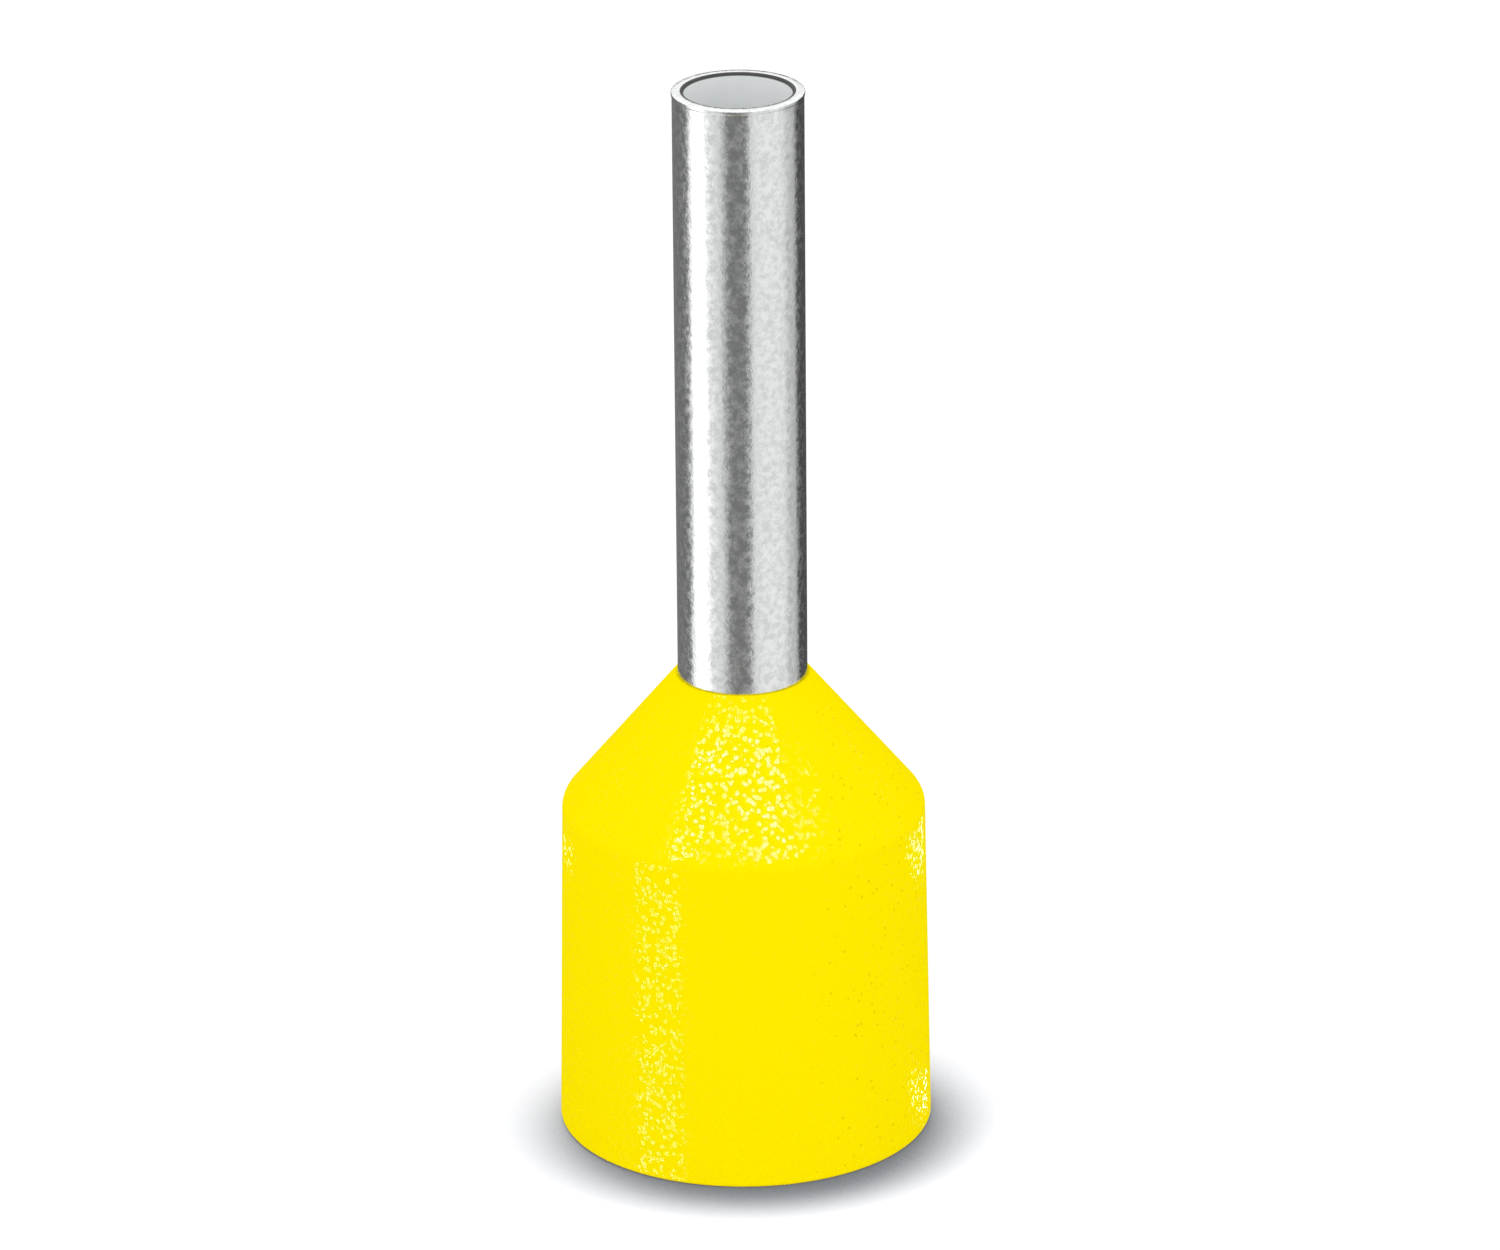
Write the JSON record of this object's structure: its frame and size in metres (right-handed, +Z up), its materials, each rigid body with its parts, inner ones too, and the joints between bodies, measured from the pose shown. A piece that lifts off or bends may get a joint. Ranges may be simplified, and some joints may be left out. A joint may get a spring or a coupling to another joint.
{
  "type": "insulated wire-end sleeve",
  "caption": "Insulated wire-end sleeve: a tinned copper tube with a belled inner end, held in a round plastic collar with a conical shoulder and an entry funnel.",
  "frame": {"origin": "centre of the collar's open mouth, in the plane it stands on", "axes": "+Z up along the common axis of collar and tube, towards the tube's tip"},
  "size_m": [0.005, 0.005, 0.0143],
  "materials": {
    "tinned_copper": "bright tin plating on copper, faintly mottled, with fine draw lines",
    "yellow_plastic": "moulded polypropylene with a fine spark-eroded texture"
  },
  "bodies": {
    "root": {"conductor_sleeve": "tinned_copper", "insulating_collar": "yellow_plastic"}
  },
  "joints": []
}
